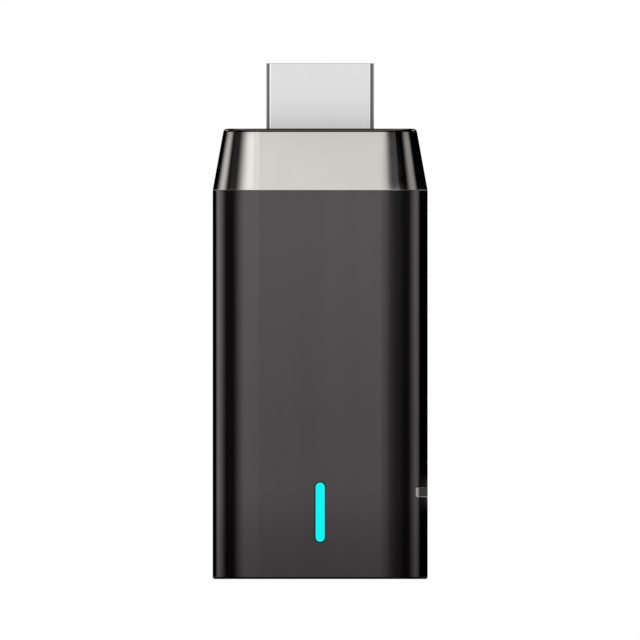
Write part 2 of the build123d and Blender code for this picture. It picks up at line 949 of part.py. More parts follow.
# Mode key: a band flush with the rounded side, a flange behind the wall and a rib
flange_inset = key_flange_gap + key_flange_thickness
with BuildPart() as mode_key:
    with BuildSketch(Plane.XY.offset(key_level - key_height / 2)):
        RectangleRounded(body_width, body_depth, body_corner)
        RectangleRounded(
            cavity_width - 2 * key_flange_gap,
            cavity_depth - 2 * key_flange_gap,
            cavity_corner - key_flange_gap,
            mode=Mode.SUBTRACT,
        )
        with Locations((body_width / 2, 0)):
            Rectangle(2 * body_corner, key_length, mode=Mode.INTERSECT)
    extrude(amount=key_height)
    ends = [
        edge
        for edge in mode_key.edges()
        if on_skin(edge @ 0) and on_skin(edge @ 1) and abs((edge @ 0).Z - (edge @ 1).Z) > key_round
    ]
    fillet(ends, key_end_round)
    rim = [
        edge
        for edge in mode_key.edges()
        if on_skin(edge @ 0)
        and on_skin(edge @ 0.5)
        and on_skin(edge @ 1)
        and abs((edge @ 0).Z - (edge @ 1).Z) < key_round
    ]
    fillet(rim, key_round)
    for side in (-1, 1):
        groove_floor = key_level + side * (key_height / 2 - guide_reach - guide_gap)
        groove_mouth = key_level + side * (key_height / 2 + key_gap)
        block(
            cavity_width / 2 - key_flange_gap,
            body_width / 2 + guide_gap,
            -guide_width / 2 - guide_gap,
            guide_width / 2 + guide_gap,
            min(groove_floor, groove_mouth),
            max(groove_floor, groove_mouth),
            Mode.SUBTRACT,
        )
    with BuildSketch(Plane.XY.offset(key_level - key_flange_height / 2)):
        RectangleRounded(
            cavity_width - 2 * key_flange_gap,
            cavity_depth - 2 * key_flange_gap,
            cavity_corner - key_flange_gap,
        )
        RectangleRounded(
            cavity_width - 2 * flange_inset,
            cavity_depth - 2 * flange_inset,
            cavity_corner - flange_inset,
            mode=Mode.SUBTRACT,
        )
        with Locations((body_width / 2, 0)):
            Rectangle(
                2 * (body_corner - key_flange_root), key_flange_length, mode=Mode.INTERSECT
            )
    extrude(amount=key_flange_height)
    block(
        plunger_tip,
        cavity_width / 2 - flange_inset + key_rib_root,
        switch_middle - key_rib_width / 2,
        switch_middle + key_rib_width / 2,
        key_level - key_rib_height / 2,
        key_level + key_rib_height / 2,
    )
finish(mode_key, "mode_key")

# Tactile switch: base with a chamber, cover sheet, snap dome and plunger
with BuildPart() as switch_base:
    block(
        switch_face - switch_reach,
        switch_face,
        board_front - switch_height,
        board_front,
        key_level - switch_length / 2,
        key_level + switch_length / 2,
    )
    block(
        chamber_inner,
        chamber_outer,
        switch_middle - switch_chamber_width / 2,
        switch_middle + switch_chamber_width / 2,
        key_level - switch_chamber_length / 2,
        key_level + switch_chamber_length / 2,
        Mode.SUBTRACT,
    )
    block(
        chamber_outer,
        switch_face,
        switch_middle - plunger_width / 2 - plunger_gap,
        switch_middle + plunger_width / 2 + plunger_gap,
        key_level - plunger_length / 2 - plunger_gap,
        key_level + plunger_length / 2 + plunger_gap,
        Mode.SUBTRACT,
    )
finish(switch_base, "switch_base")

with BuildPart() as switch_cover:
    block(
        switch_face - switch_reach,
        switch_face,
        board_front - switch_height - switch_cover_sheet,
        board_front - switch_height,
        key_level - switch_length / 2,
        key_level + switch_length / 2,
    )
finish(switch_cover, "switch_cover")

with BuildPart() as switch_dome:
    with BuildSketch(Plane.XY.offset(key_level - dome_length / 2)):
        with BuildLine():
            outer_low = (chamber_inner, switch_middle - dome_width / 2)
            outer_high = (chamber_inner, switch_middle + dome_width / 2)
            inner_low = (chamber_inner, switch_middle - dome_width / 2 + dome_sheet)
            inner_high = (chamber_inner, switch_middle + dome_width / 2 - dome_sheet)
            ThreePointArc(outer_low, (dome_top, switch_middle), outer_high)
            ThreePointArc(inner_low, (dome_top - dome_sheet, switch_middle), inner_high)
            Line(outer_low, inner_low)
            Line(outer_high, inner_high)
        make_face()
    extrude(amount=dome_length)
finish(switch_dome, "switch_dome")

with BuildPart() as switch_plunger:
    block(
        chamber_outer - plunger_gap,
        plunger_tip,
        switch_middle - plunger_width / 2,
        switch_middle + plunger_width / 2,
        key_level - plunger_length / 2,
        key_level + plunger_length / 2,
    )
    block(
        plunger_head_inner,
        chamber_outer - plunger_gap,
        switch_middle - plunger_head_width / 2,
        switch_middle + plunger_head_width / 2,
        key_level - plunger_head_length / 2,
        key_level + plunger_head_length / 2,
    )
finish(switch_plunger, "switch_plunger")
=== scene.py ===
import math

import bmesh
import bpy
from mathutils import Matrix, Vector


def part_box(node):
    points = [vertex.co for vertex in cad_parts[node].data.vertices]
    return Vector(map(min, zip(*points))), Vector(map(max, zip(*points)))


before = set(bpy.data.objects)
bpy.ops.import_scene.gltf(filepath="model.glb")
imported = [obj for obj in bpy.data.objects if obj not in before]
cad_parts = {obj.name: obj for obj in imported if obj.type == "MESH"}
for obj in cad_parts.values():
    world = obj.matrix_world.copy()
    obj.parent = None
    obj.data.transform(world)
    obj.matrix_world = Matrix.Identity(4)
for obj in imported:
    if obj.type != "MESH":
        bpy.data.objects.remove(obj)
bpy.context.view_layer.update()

# Camera
# The photograph looks level and straight at the front, with no perspective that can be measured:
# the bottom edge and the seam are straight lines. So the camera is level and orthographic. One
# pixel is 0.129 mm.
millimetre = 0.001
pixel = 0.1289 * millimetre
frame_width = 640
view_distance = 1.2
view_height = 33.39 * millimetre
view_side = -0.02 * millimetre
camera_data = bpy.data.cameras.new("camera")
camera_data.type = "ORTHO"
camera_data.ortho_scale = frame_width * pixel
camera_data.clip_start = 0.1
camera_data.clip_end = 5.0
camera = bpy.data.objects.new("camera", camera_data)
camera.location = (view_side, -view_distance, view_height)
camera.rotation_euler = (math.pi / 2, 0.0, 0.0)
bpy.context.scene.collection.objects.link(camera)
bpy.context.scene.camera = camera
bpy.context.scene.view_settings.view_transform = "Standard"


# Main board
# The board that everything inside is soldered to. FR-4: woven glass in epoxy under a dark green
# solder mask, pressed flat, routed to shape and slid into the chassis rails.
def linear(code):
    """The linear colour of an sRGB hex code."""
    parts = [int(code[i : i + 2], 16) / 255 for i in (1, 3, 5)]
    return [p / 12.92 if p <= 0.04045 else ((p + 0.055) / 1.055) ** 2.4 for p in parts] + [1.0]


def add(tree, kind, inputs, stops=(), **settings):
    """Adds a node. An input is a value, or a node or socket to link from; stops fill a ramp."""
    node = tree.nodes.new("ShaderNode" + kind)
    for name, value in settings.items():
        setattr(node, name, value)
    for name, value in inputs.items():
        if isinstance(value, bpy.types.Node):
            value = value.outputs[0]
        if isinstance(value, bpy.types.NodeSocket):
            tree.links.new(value, node.inputs[name])
        else:
            node.inputs[name].default_value = value
    for i, (place, value) in enumerate(stops):
        ramp = node.color_ramp.elements
        stop = ramp[i] if i < 2 else ramp.new(1.0)
        stop.position = place
        stop.color = linear(value) if isinstance(value, str) else (value, value, value, 1.0)
    return node


def new_surface(name):
    """A material's empty node tree, and the place on the object in metres."""
    material = bpy.data.materials.new(name)
    material.use_nodes = True
    material.node_tree.nodes.clear()
    tree = material.node_tree
    return material, tree, add(tree, "TexCoord", {}).outputs["Object"]


def finish_surface(material, shader, *pieces):
    """Puts the shader out and the material on CAD nodes."""
    add(material.node_tree, "OutputMaterial", {"Surface": shader})
    for piece in pieces:
        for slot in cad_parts[piece].material_slots:
            slot.material = material


# Solder mask over FR-4: the glass weave prints through as a faint grid, with paler tracks.
glass_pitch = 0.55 * millimetre
track_pitch = 0.9 * millimetre
weave_scale = math.pi / (20 * glass_pitch)
board, tree, place = new_surface("solder_mask_on_glass_epoxy")
weave = 1.0
for direction in ("X", "Z"):
    yarns = add(tree, "TexWave", {"Vector": place, "Scale": weave_scale}, bands_direction=direction)
    weave = add(tree, "Math", {0: yarns.outputs[1], 1: weave}, operation="MULTIPLY")
flat = add(tree, "Mapping", {"Vector": place, "Rotation": (math.pi / 2, 0.0, 0.0)})
tracks = add(
    tree,
    "TexBrick",
    {
        "Vector": flat,
        "Color1": linear("#0E3A26"),
        "Color2": linear("#11402B"),
        "Mortar": linear("#1C5638"),
        "Scale": 1.0,
        "Mortar Size": 0.12 * track_pitch,
        "Brick Width": 5.0 * track_pitch,
        "Row Height": track_pitch,
    },
)
print_through = add(
    tree, "Bump", {"Height": weave, "Strength": 0.4, "Distance": 0.01 * millimetre}
)
shader = add(
    tree,
    "BsdfPrincipled",
    {"Base Color": tracks, "Roughness": 0.32, "IOR": 1.52, "Normal": print_through},
)
finish_surface(board, shader, "main_board")

# Chips
# Processor, memory, flash, radio and power chips, soldered to both sides of the board. Epoxy
# moulding compound, transfer moulded in a spark-eroded cavity, so it is black and finely matte.
# The resin grain is about 0.05 mm and is drawn at 0.12 mm to show.
grain_size = 0.12 * millimetre
resin, tree, place = new_surface("epoxy_moulding_compound")
grain = add(tree, "TexNoise", {"Vector": place, "Scale": 1 / grain_size, "Detail": 3.0})
tone = add(tree, "ValToRGB", {"Fac": grain}, stops=((0.35, "#17181A"), (0.65, "#222325")))
relief = add(tree, "Bump", {"Height": grain, "Strength": 0.5, "Distance": 0.006 * millimetre})
shader = add(
    tree,
    "BsdfPrincipled",
    {"Base Color": tone, "Roughness": 0.55, "IOR": 1.55, "Normal": relief},
)
finish_surface(
    resin, shader, "soc_chip", "memory_chip", "flash_chip", "radio_chip", "power_chip"
)

# Thermal pads
# Soft pads squeezed between the warm chips and the heat spreader. Silicone filled with ceramic
# powder, cast in sheets and cut, which gives a chalky blue grey with pale specks.
speck_size = 0.25 * millimetre
pad, tree, place = new_surface("filled_silicone_pad")
specks = add(
    tree, "TexVoronoi", {"Vector": place, "Scale": 1 / speck_size, "Randomness": 1.0}
)
tone = add(tree, "ValToRGB", {"Fac": specks}, stops=((0.1, "#A9B3C2"), (0.5, "#8794A8")))
relief = add(tree, "Bump", {"Height": specks, "Strength": 0.3, "Distance": 0.01 * millimetre})
shader = add(
    tree,
    "BsdfPrincipled",
    {"Base Color": tone, "Roughness": 0.8, "IOR": 1.42, "Normal": relief},
)
finish_surface(pad, shader, "soc_thermal_pad", "memory_thermal_pad")

# Heat spreader
# The plate that carries the heat into the chassis. Aluminium sheet, blanked and heat-staked,
# left as rolled, so fine lines run along it and blur what it reflects.
roll_line = 0.06 * millimetre
roll_length = 4.0 * millimetre
aluminium, tree, place = new_surface("rolled_aluminium")
drawn = add(
    tree, "Mapping", {"Vector": place, "Scale": (1 / roll_line, 1 / roll_line, 1 / roll_length)}
)
lines = add(tree, "TexNoise", {"Vector": drawn, "Scale": 1.0, "Detail": 3.0})
tone = add(tree, "ValToRGB", {"Fac": lines}, stops=((0.3, "#C4C6C9"), (0.7, "#D8DADC")))
gloss = add(
    tree, "MapRange", {"Value": lines, "To Min": 0.3, "To Max": 0.42}
)
relief = add(tree, "Bump", {"Height": lines, "Strength": 0.3, "Distance": 0.002 * millimetre})
shader = add(
    tree,
    "BsdfPrincipled",
    {"Base Color": tone, "Metallic": 1.0, "Roughness": gloss, "Normal": relief},
)
finish_surface(aluminium, shader, "heat_spreader")

# Foam pad
# A strip between the spreader and the sleeve that stops rattling. Open-cell polyurethane foam,
# die cut, stuck down: charcoal, with pores of about 0.4 mm.
pore_size = 0.4 * millimetre
foam, tree, place = new_surface("open_cell_foam")
pores = add(tree, "TexVoronoi", {"Vector": place, "Scale": 1 / pore_size, "Randomness": 1.0})
tone = add(tree, "ValToRGB", {"Fac": pores}, stops=((0.15, "#131314"), (0.55, "#38383B")))
relief = add(tree, "Bump", {"Height": pores, "Strength": 0.8, "Distance": 0.06 * millimetre})
shader = add(
    tree,
    "BsdfPrincipled",
    {"Base Color": tone, "Roughness": 0.95, "IOR": 1.45, "Normal": relief},
)
finish_surface(foam, shader, "foam_pad")

# Power inductors
# The coils of the power supply, sealed in blocks. Pressed iron powder and ferrite, sintered:
# dark grey with a fine metallic sparkle.
powder_size = 0.1 * millimetre
ferrite, tree, place = new_surface("pressed_ferrite")
powder = add(tree, "TexNoise", {"Vector": place, "Scale": 1 / powder_size, "Detail": 2.0})
tone = add(tree, "ValToRGB", {"Fac": powder}, stops=((0.4, "#2B2C2F"), (0.62, "#4A4C50")))
shader = add(
    tree, "BsdfPrincipled", {"Base Color": tone, "Metallic": 0.35, "Roughness": 0.5}
)
finish_surface(ferrite, shader, "power_inductors")

# Capacitors
# Two columns of chip capacitors beside the processor. Fired barium titanate ceramic in layers:
# a tan, slightly mottled body.
mottle_size = 0.3 * millimetre
ceramic, tree, place = new_surface("fired_capacitor_ceramic")
mottle = add(tree, "TexNoise", {"Vector": place, "Scale": 1 / mottle_size, "Detail": 4.0})
tone = add(tree, "ValToRGB", {"Fac": mottle}, stops=((0.35, "#8C6C4C"), (0.65, "#A88662")))
shader = add(tree, "BsdfPrincipled", {"Base Color": tone, "Roughness": 0.42, "IOR": 1.9})
finish_surface(ceramic, shader, "ceramic_capacitors")

# Resistors
# Two columns of chip resistors beside the flash chip. A thick film under a black glass glaze,
# screen printed and fired on alumina: glossy, with a slightly uneven skin.
glaze_wave = 0.35 * millimetre
glaze, tree, place = new_surface("black_glass_glaze")
skin = add(tree, "TexNoise", {"Vector": place, "Scale": 1 / glaze_wave, "Detail": 2.0})
tone = add(tree, "ValToRGB", {"Fac": skin}, stops=((0.3, "#101113"), (0.7, "#1D1E21")))
relief = add(tree, "Bump", {"Height": skin, "Strength": 0.4, "Distance": 0.01 * millimetre})
shader = add(
    tree,
    "BsdfPrincipled",
    {"Base Color": tone, "Roughness": 0.22, "IOR": 1.52, "Normal": relief},
)
finish_surface(glaze, shader, "chip_resistors")

# Crystal
# The clock crystal's can under the light shroud. Kovar lid, gold flashed over nickel and seam
# welded, so it is a pale warm metal with a soft shine.
blast_size = 0.08 * millimetre
lid, tree, place = new_surface("nickel_gold_lid")
blast = add(tree, "TexNoise", {"Vector": place, "Scale": 1 / blast_size, "Detail": 2.0})
tone = add(tree, "ValToRGB", {"Fac": blast}, stops=((0.35, "#CFC4A0"), (0.65, "#E0D6B4")))
gloss = add(tree, "MapRange", {"Value": blast, "To Min": 0.22, "To Max": 0.36})
shader = add(
    tree, "BsdfPrincipled", {"Base Color": tone, "Metallic": 1.0, "Roughness": gloss}
)
finish_surface(lid, shader, "crystal")

# Radio can and switch cover
# The screen over the radio chip, and the plate that holds the switch together. Tin-plated steel,
# stamped and folded: silver grey, with the plate's faint crystal spangle of about 1.2 mm.
spangle_size = 1.2 * millimetre
tin, tree, place = new_surface("tin_plated_steel")
spangle = add(
    tree, "TexVoronoi", {"Vector": place, "Scale": 1 / spangle_size, "Randomness": 1.0}
)
tone = add(
    tree,
    "ValToRGB",
    {"Fac": spangle.outputs["Color"]},
    stops=((0.0, "#B9BABC"), (1.0, "#CBCCCE")),
)
gloss = add(
    tree, "MapRange", {"Value": spangle.outputs["Color"], "To Min": 0.26, "To Max": 0.4}
)
shader = add(
    tree, "BsdfPrincipled", {"Base Color": tone, "Metallic": 1.0, "Roughness": gloss}
)
finish_surface(tin, shader, "radio_shield_can", "switch_cover")

# Antennas
# Two chip antennas at the bottom corners, clear of the metal. Fired white ceramic, smooth, with
# a trace of grain.
ceramic_grain = 0.15 * millimetre
white_ceramic, tree, place = new_surface("white_fired_ceramic")
grain = add(tree, "TexNoise", {"Vector": place, "Scale": 1 / ceramic_grain, "Detail": 3.0})
tone = add(tree, "ValToRGB", {"Fac": grain}, stops=((0.3, "#D9D6CC"), (0.7, "#E8E6DE")))
shader = add(tree, "BsdfPrincipled", {"Base Color": tone, "Roughness": 0.4, "IOR": 1.75})
finish_surface(white_ceramic, shader, "main_antenna", "second_antenna")

# Status lamp
# The LED behind the light bar. Clear epoxy with a little diffuser, cast over a cyan chip, so it
# glows most in the middle and is milky at its edges.
led_low, led_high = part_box("status_led")
led_middle = (led_low.z + led_high.z) / 2
glow_reach = 0.9 * millimetre
epoxy, tree, place = new_surface("diffused_lamp_epoxy")
centred = add(tree, "Mapping", {"Vector": place, "Location": (0.0, 0.0, -led_middle)})
flat = add(
    tree, "VectorMath", {0: centred, 1: (1.0, 0.0, 1.0)}, operation="MULTIPLY"
)
from_middle = add(tree, "VectorMath", {0: flat}, operation="LENGTH").outputs["Value"]
share = add(tree, "MapRange", {"Value": from_middle, "From Max": glow_reach})
tone = add(tree, "ValToRGB", {"Fac": share}, stops=((0.0, "#B8FFFF"), (1.0, "#2AA6A6")))
shader = add(
    tree,
    "BsdfPrincipled",
    {
        "Base Color": linear("#C9D6D4"),
        "Roughness": 0.3,
        "IOR": 1.53,
        "Emission Color": tone,
        "Emission Strength": 1.5,
    },
)
finish_surface(epoxy, shader, "status_led")

# Light shroud
# A collar that keeps the lamp's light in the bar. Black silicone rubber, compression moulded and
# pushed over the bar's stem: soft, matte, with a powdery bloom.
bloom_size = 0.5 * millimetre
rubber, tree, place = new_surface("black_silicone_rubber")
bloom = add(tree, "TexNoise", {"Vector": place, "Scale": 1 / bloom_size, "Detail": 5.0})
tone = add(tree, "ValToRGB", {"Fac": bloom}, stops=((0.35, "#141415"), (0.7, "#232325")))
relief = add(tree, "Bump", {"Height": bloom, "Strength": 0.2, "Distance": 0.01 * millimetre})
shader = add(
    tree,
    "BsdfPrincipled",
    {
        "Base Color": tone,
        "Roughness": 0.72,
        "IOR": 1.42,
        "Sheen Weight": 0.2,
        "Normal": relief,
    },
)
finish_surface(rubber, shader, "light_shroud")

# Power socket
# The socket in the bottom end. A stainless steel shell, deep drawn, soldered by its wings; a
# black liquid-crystal polymer tongue with 24 gold-plated contacts moulded into it.
# Drawing leaves faint lines along the shell; they are drawn 0.08 mm wide.
draw_line = 0.08 * millimetre
draw_length = 2.5 * millimetre
stainless, tree, place = new_surface("drawn_stainless_steel")
drawn = add(
    tree, "Mapping", {"Vector": place, "Scale": (1 / draw_line, 1 / draw_line, 1 / draw_length)}
)
lines = add(tree, "TexNoise", {"Vector": drawn, "Scale": 1.0, "Detail": 3.0})
tone = add(tree, "ValToRGB", {"Fac": lines}, stops=((0.3, "#BDBBB8"), (0.7, "#CFCDCA")))
gloss = add(tree, "MapRange", {"Value": lines, "To Min": 0.2, "To Max": 0.32})
relief = add(tree, "Bump", {"Height": lines, "Strength": 0.3, "Distance": 0.002 * millimetre})
shader = add(
    tree,
    "BsdfPrincipled",
    {"Base Color": tone, "Metallic": 1.0, "Roughness": gloss, "Normal": relief},
)
finish_surface(stainless, shader, "usb_socket_shell")

# Black liquid-crystal polymer: hard, matte, with flow lines where the melt ran.
flow_width = 0.25 * millimetre
flow_length = 2.0 * millimetre
polymer, tree, place = new_surface("black_connector_polymer")
run = add(
    tree, "Mapping", {"Vector": place, "Scale": (1 / flow_length, 1 / flow_width, 1 / flow_width)}
)
flow = add(tree, "TexNoise", {"Vector": run, "Scale": 1.0, "Detail": 4.0, "Distortion": 0.6})
tone = add(tree, "ValToRGB", {"Fac": flow}, stops=((0.3, "#131314"), (0.7, "#202022")))
gloss = add(tree, "MapRange", {"Value": flow, "To Min": 0.4, "To Max": 0.58})
shader = add(tree, "BsdfPrincipled", {"Base Color": tone, "Roughness": gloss, "IOR": 1.6})
finish_surface(
    polymer, shader, "usb_socket_tongue", "hdmi_plug_insulator", "switch_base"
)

# Hard gold over nickel on copper strip: a warm shine, a little rubbed where contacts slide.
rub_width = 0.1 * millimetre
rub_length = 1.5 * millimetre
gold, tree, place = new_surface("gold_plated_contact_strip")
rubbed = add(
    tree, "Mapping", {"Vector": place, "Scale": (1 / rub_width, 1 / rub_width, 1 / rub_length)}
)
rubs = add(tree, "TexNoise", {"Vector": rubbed, "Scale": 1.0, "Detail": 2.0})
tone = add(tree, "ValToRGB", {"Fac": rubs}, stops=((0.3, "#D9A94E"), (0.7, "#F0C873")))
gloss = add(tree, "MapRange", {"Value": rubs, "To Min": 0.14, "To Max": 0.28})
shader = add(
    tree, "BsdfPrincipled", {"Base Color": tone, "Metallic": 1.0, "Roughness": gloss}
)
finish_surface(gold, shader, "usb_socket_contacts", "hdmi_plug_contacts")

# Switch
# The tact switch that the key presses. A spring-steel dome snaps under an acetal plunger, in the
# black base, under the tinned cover. The dome is polished strip; the plunger is milky acetal.
strip_line = 0.05 * millimetre
strip_length = 1.5 * millimetre
spring, tree, place = new_surface("spring_steel_strip")
drawn = add(
    tree, "Mapping", {"Vector": place, "Scale": (1 / strip_line, 1 / strip_length, 1 / strip_line)}
)
lines = add(tree, "TexNoise", {"Vector": drawn, "Scale": 1.0, "Detail": 2.0})
tone = add(tree, "ValToRGB", {"Fac": lines}, stops=((0.3, "#B4B3B1"), (0.7, "#C6C5C3")))
gloss = add(tree, "MapRange", {"Value": lines, "To Min": 0.15, "To Max": 0.25})
shader = add(
    tree, "BsdfPrincipled", {"Base Color": tone, "Metallic": 1.0, "Roughness": gloss}
)
finish_surface(spring, shader, "switch_dome")

cloud_size = 0.8 * millimetre
acetal, tree, place = new_surface("milky_acetal")
cloud = add(tree, "TexNoise", {"Vector": place, "Scale": 1 / cloud_size, "Detail": 2.0})
tone = add(tree, "ValToRGB", {"Fac": cloud}, stops=((0.3, "#DEDCD5"), (0.7, "#EBE9E3")))
shader = add(
    tree,
    "BsdfPrincipled",
    {
        "Base Color": tone,
        "Roughness": 0.4,
        "IOR": 1.48,
        "Subsurface Weight": 0.2,
        "Subsurface Scale": 0.4 * millimetre,
    },
)
finish_surface(acetal, shader, "switch_plunger")

# Chassis and plug bracket
# The frame that carries the board, and the block that holds the plug in the cap. Nylon with 30%
# short glass fibre, injection moulded: dark grey, matte, with fibres showing as fine streaks.
fibre_width = 0.05 * millimetre
fibre_length = 0.5 * millimetre
nylon, tree, place = new_surface("glass_filled_nylon")
run = add(
    tree, "Mapping", {"Vector": place, "Scale": (1 / fibre_width, 1 / fibre_width, 1 / fibre_length)}
)
fibres = add(tree, "TexNoise", {"Vector": run, "Scale": 1.0, "Detail": 2.0, "Distortion": 1.5})
tone = add(tree, "ValToRGB", {"Fac": fibres}, stops=((0.35, "#242526"), (0.72, "#3A3B3D")))
relief = add(tree, "Bump", {"Height": fibres, "Strength": 0.35, "Distance": 0.006 * millimetre})
shader = add(
    tree,
    "BsdfPrincipled",
    {"Base Color": tone, "Roughness": 0.6, "IOR": 1.53, "Normal": relief},
)
finish_surface(nylon, shader, "inner_chassis", "plug_bracket")

# Board screws
# Two small screws through the board into the chassis. Carbon steel, cold headed, zinc plated in
# black: dark metal, a little lighter where the driver and the tumbling have worn it.
wear_size = 0.4 * millimetre
zinc, tree, place = new_surface("black_zinc_plated_steel")
wear = add(tree, "TexNoise", {"Vector": place, "Scale": 1 / wear_size, "Detail": 5.0})
tone = add(tree, "ValToRGB", {"Fac": wear}, stops=((0.4, "#3A3B3E"), (0.72, "#77797D")))
gloss = add(tree, "MapRange", {"Value": wear, "To Min": 0.28, "To Max": 0.45})
shader = add(
    tree, "BsdfPrincipled", {"Base Color": tone, "Metallic": 1.0, "Roughness": gloss}
)
finish_surface(zinc, shader, "board_screw_left", "board_screw_right")

# Plug shell
# The video plug. Cold-rolled steel strip 0.3 mm thick, folded round the insulator and plated
# with nickel: pale and even, a satin that is a little softer than the polished cap.
# Rolling lines are about 0.02 mm apart and are drawn at 0.07 mm.
rolling_line = 0.07 * millimetre
rolling_length = 3.0 * millimetre
nickel, tree, place = new_surface("nickel_plated_rolled_steel")
rolled = add(
    tree,
    "Mapping",
    {"Vector": place, "Scale": (1 / rolling_line, 1 / rolling_line, 1 / rolling_length)},
)
lines = add(tree, "TexNoise", {"Vector": rolled, "Scale": 1.0, "Detail": 3.0})
tone = add(tree, "ValToRGB", {"Fac": lines}, stops=((0.25, "#DBDBDB"), (0.75, "#DFDFDF")))
gloss = add(tree, "MapRange", {"Value": lines, "To Min": 0.04, "To Max": 0.065})
relief = add(tree, "Bump", {"Height": lines, "Strength": 0.1, "Distance": 0.0005 * millimetre})
shader = add(
    tree,
    "BsdfPrincipled",
    {"Base Color": tone, "Metallic": 1.0, "Roughness": gloss, "Normal": relief},
)
finish_surface(nickel, shader, "hdmi_plug_shell")

# Light bar
# The lit bar low on the front. Polycarbonate light guide, injection moulded with a frosted face
# and clear sides: the face glows an even cyan, its rim is a little milky, its sides stay dark.
bar_length = 7.64 * millimetre
bar_width = 1.19 * millimetre
guide_low, guide_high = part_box("light_guide")
bar_level = (guide_low.z + guide_high.z) / 2
bar_face = guide_low.y
frosted_depth = 0.06 * millimetre
side_light = 0.02
frost_grain = 0.1 * millimetre
guide, tree, place = new_surface("frosted_light_guide")
along = add(tree, "SeparateXYZ", {"Vector": place})
rise = add(tree, "Math", {0: along.outputs["Z"], 1: bar_level}, operation="SUBTRACT")
rise = add(tree, "Math", {0: rise}, operation="ABSOLUTE")
rise = add(tree, "Math", {0: rise, 1: (bar_length - bar_width) / 2}, operation="SUBTRACT")
rise = add(tree, "Math", {0: rise, 1: 0.0}, operation="MAXIMUM")
offset = add(tree, "CombineXYZ", {"X": along.outputs["X"], "Y": rise})
from_line = add(tree, "VectorMath", {0: offset}, operation="LENGTH").outputs["Value"]
rim = add(tree, "MapRange", {"Value": from_line, "From Max": bar_width / 2})
glow = add(
    tree,
    "ValToRGB",
    {"Fac": rim},
    stops=((0.0, "#00F5F5"), (0.6, "#00F2F2"), (0.8, "#22EEEC"), (1.0, "#28D6D4")),
)
lit = add(
    tree,
    "MapRange",
    {
        "Value": along.outputs["Y"],
        "From Min": bar_face,
        "From Max": bar_face + frosted_depth,
        "To Min": 1.0,
        "To Max": side_light,
    },
)
frost = add(tree, "TexNoise", {"Vector": place, "Scale": 1 / frost_grain, "Detail": 2.0})
relief = add(tree, "Bump", {"Height": frost, "Strength": 0.2, "Distance": 0.004 * millimetre})
shader = add(
    tree,
    "BsdfPrincipled",
    {
        "Base Color": linear("#01343A"),
        "Roughness": 0.5,
        "IOR": 1.58,
        "Specular IOR Level": 0.05,
        "Emission Color": glow,
        "Emission Strength": lit,
        "Normal": relief,
    },
)
finish_surface(guide, shader, "light_guide")

# Body sleeve
# The tall one-piece tube. Polycarbonate, injection moulded, then vacuum metallised in graphite
# under a clear hard coat: a dark mirror with a faint pink cast, soft upright streaks from the
# film, and a mould skin that is flat to within a micrometre over a few millimetres.
streak_width = 5.0 * millimetre
streak_length = 120.0 * millimetre
skin_wave = 2.5 * millimetre
haze_size = 9.0 * millimetre
graphite, tree, place = new_surface("vacuum_metallised_graphite")
upright = add(
    tree,
    "Mapping",
    {"Vector": place, "Scale": (1 / streak_width, 1 / streak_width, 1 / streak_length)},
)
streaks = add(tree, "TexNoise", {"Vector": upright, "Scale": 1.0, "Detail": 3.0})
tone = add(tree, "ValToRGB", {"Fac": streaks}, stops=((0.3, "#565153"), (0.7, "#5B5658")))
haze = add(tree, "TexNoise", {"Vector": place, "Scale": 1 / haze_size, "Detail": 3.0})
gloss = add(tree, "MapRange", {"Value": haze, "To Min": 0.035, "To Max": 0.06})
skin = add(tree, "TexNoise", {"Vector": place, "Scale": 1 / skin_wave, "Detail": 1.0})
relief = add(tree, "Bump", {"Height": skin, "Strength": 0.5, "Distance": 0.001 * millimetre})

# The film is left off the ribs in the narrow opening for the key and the rim at the seam, so they
# are bare and matte, and there the colour is painted near black as painted shade of the slot and the
# seam. The stretch that this covers ends just short of the opening's walls.
key_low, key_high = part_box("mode_key")
key_level = (key_low.z + key_high.z) / 2
opening_height = 1.52 * millimetre
opening_length = 9.28 * millimetre
short_of_wall = 0.005 * millimetre
opening_middle = 10.5 * millimetre
opening_half_depth = 3.4 * millimetre
rim_depth = 0.03 * millimetre
rim_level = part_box("body_sleeve")[1].z - rim_depth
bare_roughness = 0.7
where = add(tree, "SeparateXYZ", {"Vector": place})
in_opening = 1.0
for axis, middle, half in (
    ("X", opening_middle, opening_half_depth),
    ("Y", 0.0, opening_length / 2 - short_of_wall),
    ("Z", key_level, opening_height / 2 - short_of_wall),
):
    within = add(
        tree, "Math", {0: where.outputs[axis], 1: middle, 2: half}, operation="COMPARE"
    )
    in_opening = add(tree, "Math", {0: within, 1: in_opening}, operation="MULTIPLY")
at_rim = add(
    tree, "Math", {0: where.outputs["Z"], 1: rim_level}, operation="GREATER_THAN"
)
bare_and_shaded = add(tree, "Math", {0: in_opening, 1: at_rim}, operation="MAXIMUM")
film = add(tree, "Math", {0: 1.0, 1: bare_and_shaded}, operation="SUBTRACT")
# Painted shade: near black in the key's slot and along the seam, where the film is left off.
tone = add(tree, "Mix", {0: bare_and_shaded, 6: tone, 7: linear("#0A0A0B")}, data_type="RGBA").outputs[2]
gloss = add(tree, "Mix", {0: bare_and_shaded, 2: gloss, 3: bare_roughness})
shader = add(
    tree,
    "BsdfPrincipled",
    {"Base Color": tone, "Metallic": film, "Roughness": gloss, "Normal": relief},
)
finish_surface(graphite, shader, "body_sleeve")

